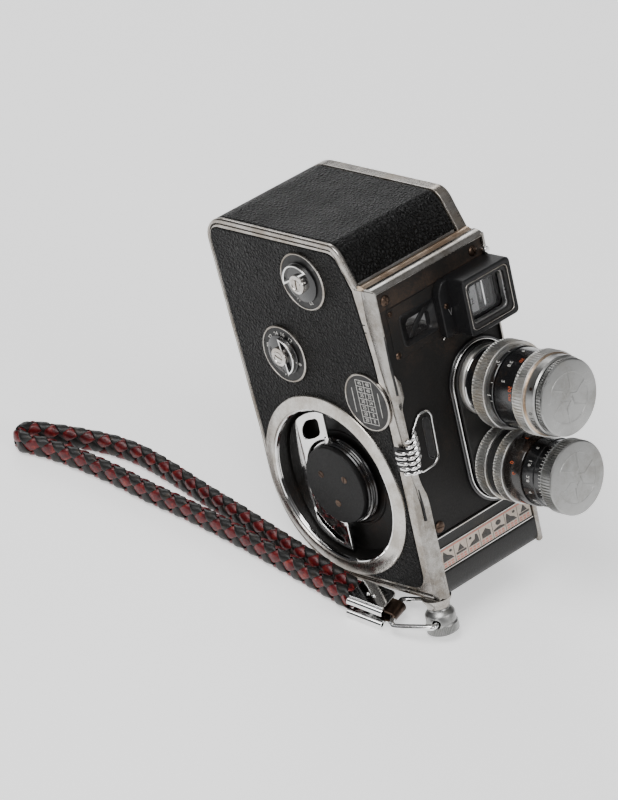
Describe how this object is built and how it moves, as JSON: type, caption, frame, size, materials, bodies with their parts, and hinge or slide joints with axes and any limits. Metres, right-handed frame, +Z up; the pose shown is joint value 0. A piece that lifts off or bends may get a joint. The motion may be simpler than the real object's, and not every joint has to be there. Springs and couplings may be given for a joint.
{
  "type": "cine camera",
  "caption": "Spring-driven cine camera with a lens turret, fold-out winding key, lift-off film door and braided wrist strap; it leans back on the strap's thumb screw.",
  "frame": {"origin": "on the ground, under the middle of the camera without its strap", "axes": "+Z up, -Y towards the lens side, +X the film-door side, -X the winding side; the camera leans back 19 degrees about X"},
  "size_m": [0.0876, 0.1916, 0.1232],
  "materials": {
    "satin_metal": "satin, worn",
    "leatherette": "coarse pebble grain",
    "dial_grey": "satin, engraved",
    "chrome": "polished, worn",
    "crinkle_paint": "black crinkle, worn to brown",
    "black_metal": "black anodised, glossy",
    "bronze_ring": "brown, knurled",
    "silver_ring": "satin, knurled",
    "brown_screw": "tarnished",
    "guide_card": "printed, worn",
    "clear_glass": "polished",
    "works_steel": "ground",
    "works_alloy": "plain",
    "works_brass": "turned",
    "braid": "red and black plait"
  },
  "bodies": {
    "camera": {"body_casting": "satin_metal", "wrap_leather": "leatherette", "side_leather": "leatherette", "upper_dial_plate": "dial_grey", "lower_dial_plate": "dial_grey", "chart_disc": "dial_grey", "winding_bezel": "chrome", "winding_dish": "crinkle_paint", "front_bezel": "satin_metal", "front_plate": "crinkle_paint", "guide_plate": "guide_card", "front_window": "clear_glass", "plate_screw_1": "brown_screw", "plate_screw_2": "brown_screw", "plate_screw_3": "brown_screw", "plate_screw_4": "brown_screw", "finder_housing": "crinkle_paint", "finder_front_glass": "clear_glass", "finder_tube": "works_alloy", "finder_eyepiece": "black_metal", "release_plate": "chrome", "release_spring": "works_steel", "turret_seat": "crinkle_paint", "turret_pivot": "brown_screw", "mechanism_plate": "works_alloy", "film_gate": "works_steel", "tripod_bush": "satin_metal"},
    "door": {"film_door": "satin_metal", "door_leather": "leatherette"},
    "lock": {"door_lock": "chrome"},
    "turret": {"turret_plate": "crinkle_paint", "upper_lens_barrel": "black_metal", "lower_lens_barrel": "black_metal", "upper_lens_glass": "clear_glass", "lower_lens_glass": "clear_glass"},
    "upper_focus": {"upper_focus_ring": "bronze_ring"},
    "lower_focus": {"lower_focus_ring": "bronze_ring"},
    "upper_aperture": {"upper_aperture_ring": "silver_ring"},
    "lower_aperture": {"lower_aperture_ring": "black_metal"},
    "upper_cap": {"upper_lens_cap": "silver_ring"},
    "lower_cap": {"lower_lens_cap": "silver_ring"},
    "release": {"release_button": "chrome"},
    "upper_dial": {"upper_dial_knob": "chrome"},
    "lower_dial": {"lower_dial_knob": "chrome"},
    "winding": {"winding_shaft": "works_steel", "key_hub": "black_metal"},
    "key": {"winding_key": "chrome"},
    "barrel": {"mainspring_barrel": "works_brass", "mainspring": "works_steel"},
    "train": {"train_wheel": "works_brass"},
    "governor": {"governor": "works_brass"},
    "shutter": {"shutter_disc": "black_metal"},
    "claw": {"film_claw": "works_steel"},
    "pressure": {"pressure_plate": "works_steel"},
    "supply": {"supply_spool": "silver_ring"},
    "takeup": {"takeup_spool": "silver_ring"},
    "screw": {"strap_screw": "chrome"},
    "ring": {"strap_ring": "chrome"},
    "strap": {"strap_ferrule": "chrome", "strap_cord": "braid"}
  },
  "joints": [
    {"name": "door_lift", "type": "slide", "parent": "camera", "child": "door", "axis": [1, 0, 0], "range_m": [0, 0.03]},
    {"name": "lock_turn", "type": "hinge", "parent": "door", "child": "lock", "pos_m": [0.0287, 0.00224, 0.03098], "axis": [1, 0, 0], "range_deg": [0, 90]},
    {"name": "turret_turn", "type": "hinge", "parent": "camera", "child": "turret", "pos_m": [0.0138, -0.02559, 0.06068], "axis": [0, 0.9453, -0.3261], "range_deg": [0, 180]},
    {"name": "upper_focus_turn", "type": "hinge", "parent": "turret", "child": "upper_focus", "pos_m": [0.0138, -0.03231, 0.07802], "axis": [0, 0.9453, -0.3261], "range_deg": [-100, 100]},
    {"name": "upper_aperture_turn", "type": "hinge", "parent": "turret", "child": "upper_aperture", "pos_m": [0.0138, -0.04743, 0.08324], "axis": [0, 0.9453, -0.3261], "range_deg": [-60, 60]},
    {"name": "upper_cap_pull", "type": "slide", "parent": "turret", "child": "upper_cap", "axis": [0, -0.9453, 0.3261], "range_m": [0, 0.03]},
    {"name": "lower_focus_turn", "type": "hinge", "parent": "turret", "child": "lower_focus", "pos_m": [0.0138, -0.04157, 0.05117], "axis": [0, 0.9453, -0.3261], "range_deg": [-100, 100]},
    {"name": "lower_aperture_turn", "type": "hinge", "parent": "turret", "child": "lower_aperture", "pos_m": [0.0138, -0.05669, 0.05639], "axis": [0, 0.9453, -0.3261], "range_deg": [-60, 60]},
    {"name": "lower_cap_pull", "type": "slide", "parent": "turret", "child": "lower_cap", "axis": [0, -0.9453, 0.3261], "range_m": [0, 0.03]},
    {"name": "release_press", "type": "slide", "parent": "camera", "child": "release", "axis": [0, -0.3261, -0.9453], "range_m": [0, 0.005], "stiffness_N_per_m": 300},
    {"name": "upper_dial_turn", "type": "hinge", "parent": "camera", "child": "upper_dial", "pos_m": [-0.0221, 0.02379, 0.10447], "axis": [1, 0, 0], "range_deg": [-90, 90]},
    {"name": "lower_dial_turn", "type": "hinge", "parent": "camera", "child": "lower_dial", "pos_m": [-0.0221, 0.03073, 0.07277], "axis": [1, 0, 0], "range_deg": [-90, 90]},
    {"name": "winding_turn", "type": "hinge", "parent": "camera", "child": "winding", "pos_m": [-0.0171, 0.00647, 0.03418], "axis": [1, 0, 0], "continuous": true},
    {"name": "key_fold", "type": "hinge", "parent": "winding", "child": "key", "pos_m": [-0.0189, 0.00836, 0.03352], "axis": [0, 0.3261, 0.9453], "range_deg": [0, 90]},
    {"name": "barrel_turn", "type": "hinge", "parent": "camera", "child": "barrel", "pos_m": [-0.0071, 0.00647, 0.03418], "axis": [1, 0, 0], "continuous": true},
    {"name": "train_turn", "type": "hinge", "parent": "camera", "child": "train", "pos_m": [-0.0071, 0.01069, 0.06773], "axis": [1, 0, 0], "continuous": true},
    {"name": "governor_turn", "type": "hinge", "parent": "camera", "child": "governor", "pos_m": [-0.0071, 0.02645, 0.07509], "axis": [1, 0, 0], "continuous": true},
    {"name": "shutter_turn", "type": "hinge", "parent": "camera", "child": "shutter", "pos_m": [-0.0016, -0.01718, 0.0728], "axis": [0, 0.9453, -0.3261], "continuous": true},
    {"name": "claw_pull", "type": "slide", "parent": "camera", "child": "claw", "axis": [0, -0.3261, -0.9453], "range_m": [0, 0.0038]},
    {"name": "pressure_open", "type": "slide", "parent": "camera", "child": "pressure", "axis": [0, 0.9453, -0.3261], "range_m": [0, 0.002], "stiffness_N_per_m": 150},
    {"name": "supply_turn", "type": "hinge", "parent": "camera", "child": "supply", "pos_m": [0.0109, 0.02135, 0.05877], "axis": [1, 0, 0], "continuous": true},
    {"name": "takeup_turn", "type": "hinge", "parent": "camera", "child": "takeup", "pos_m": [0.0109, 0.00583, 0.02297], "axis": [1, 0, 0], "continuous": true},
    {"name": "screw_turn", "type": "hinge", "parent": "camera", "child": "screw", "pos_m": [-0.0186, -0.03843, 0.00693], "axis": [0, 0.3261, 0.9453], "range_deg": [0, 8]},
    {"name": "ring_swing", "type": "hinge", "parent": "screw", "child": "ring", "pos_m": [-0.0186, -0.03856, 0.00655], "axis": [0.8756, 0.4831, 0], "range_deg": [0, 6]},
    {"name": "strap_swing", "type": "hinge", "parent": "ring", "child": "strap", "pos_m": [-0.0256, -0.02586, 0.0042], "axis": [0.8756, 0.4831, 0], "range_deg": [0, 4]}
  ],
  "couplings": [
    {"joint": "train_turn", "follows": "barrel_turn", "ratio": -3},
    {"joint": "governor_turn", "follows": "barrel_turn", "ratio": 7.2},
    {"joint": "shutter_turn", "follows": "barrel_turn", "ratio": 12}
  ]
}
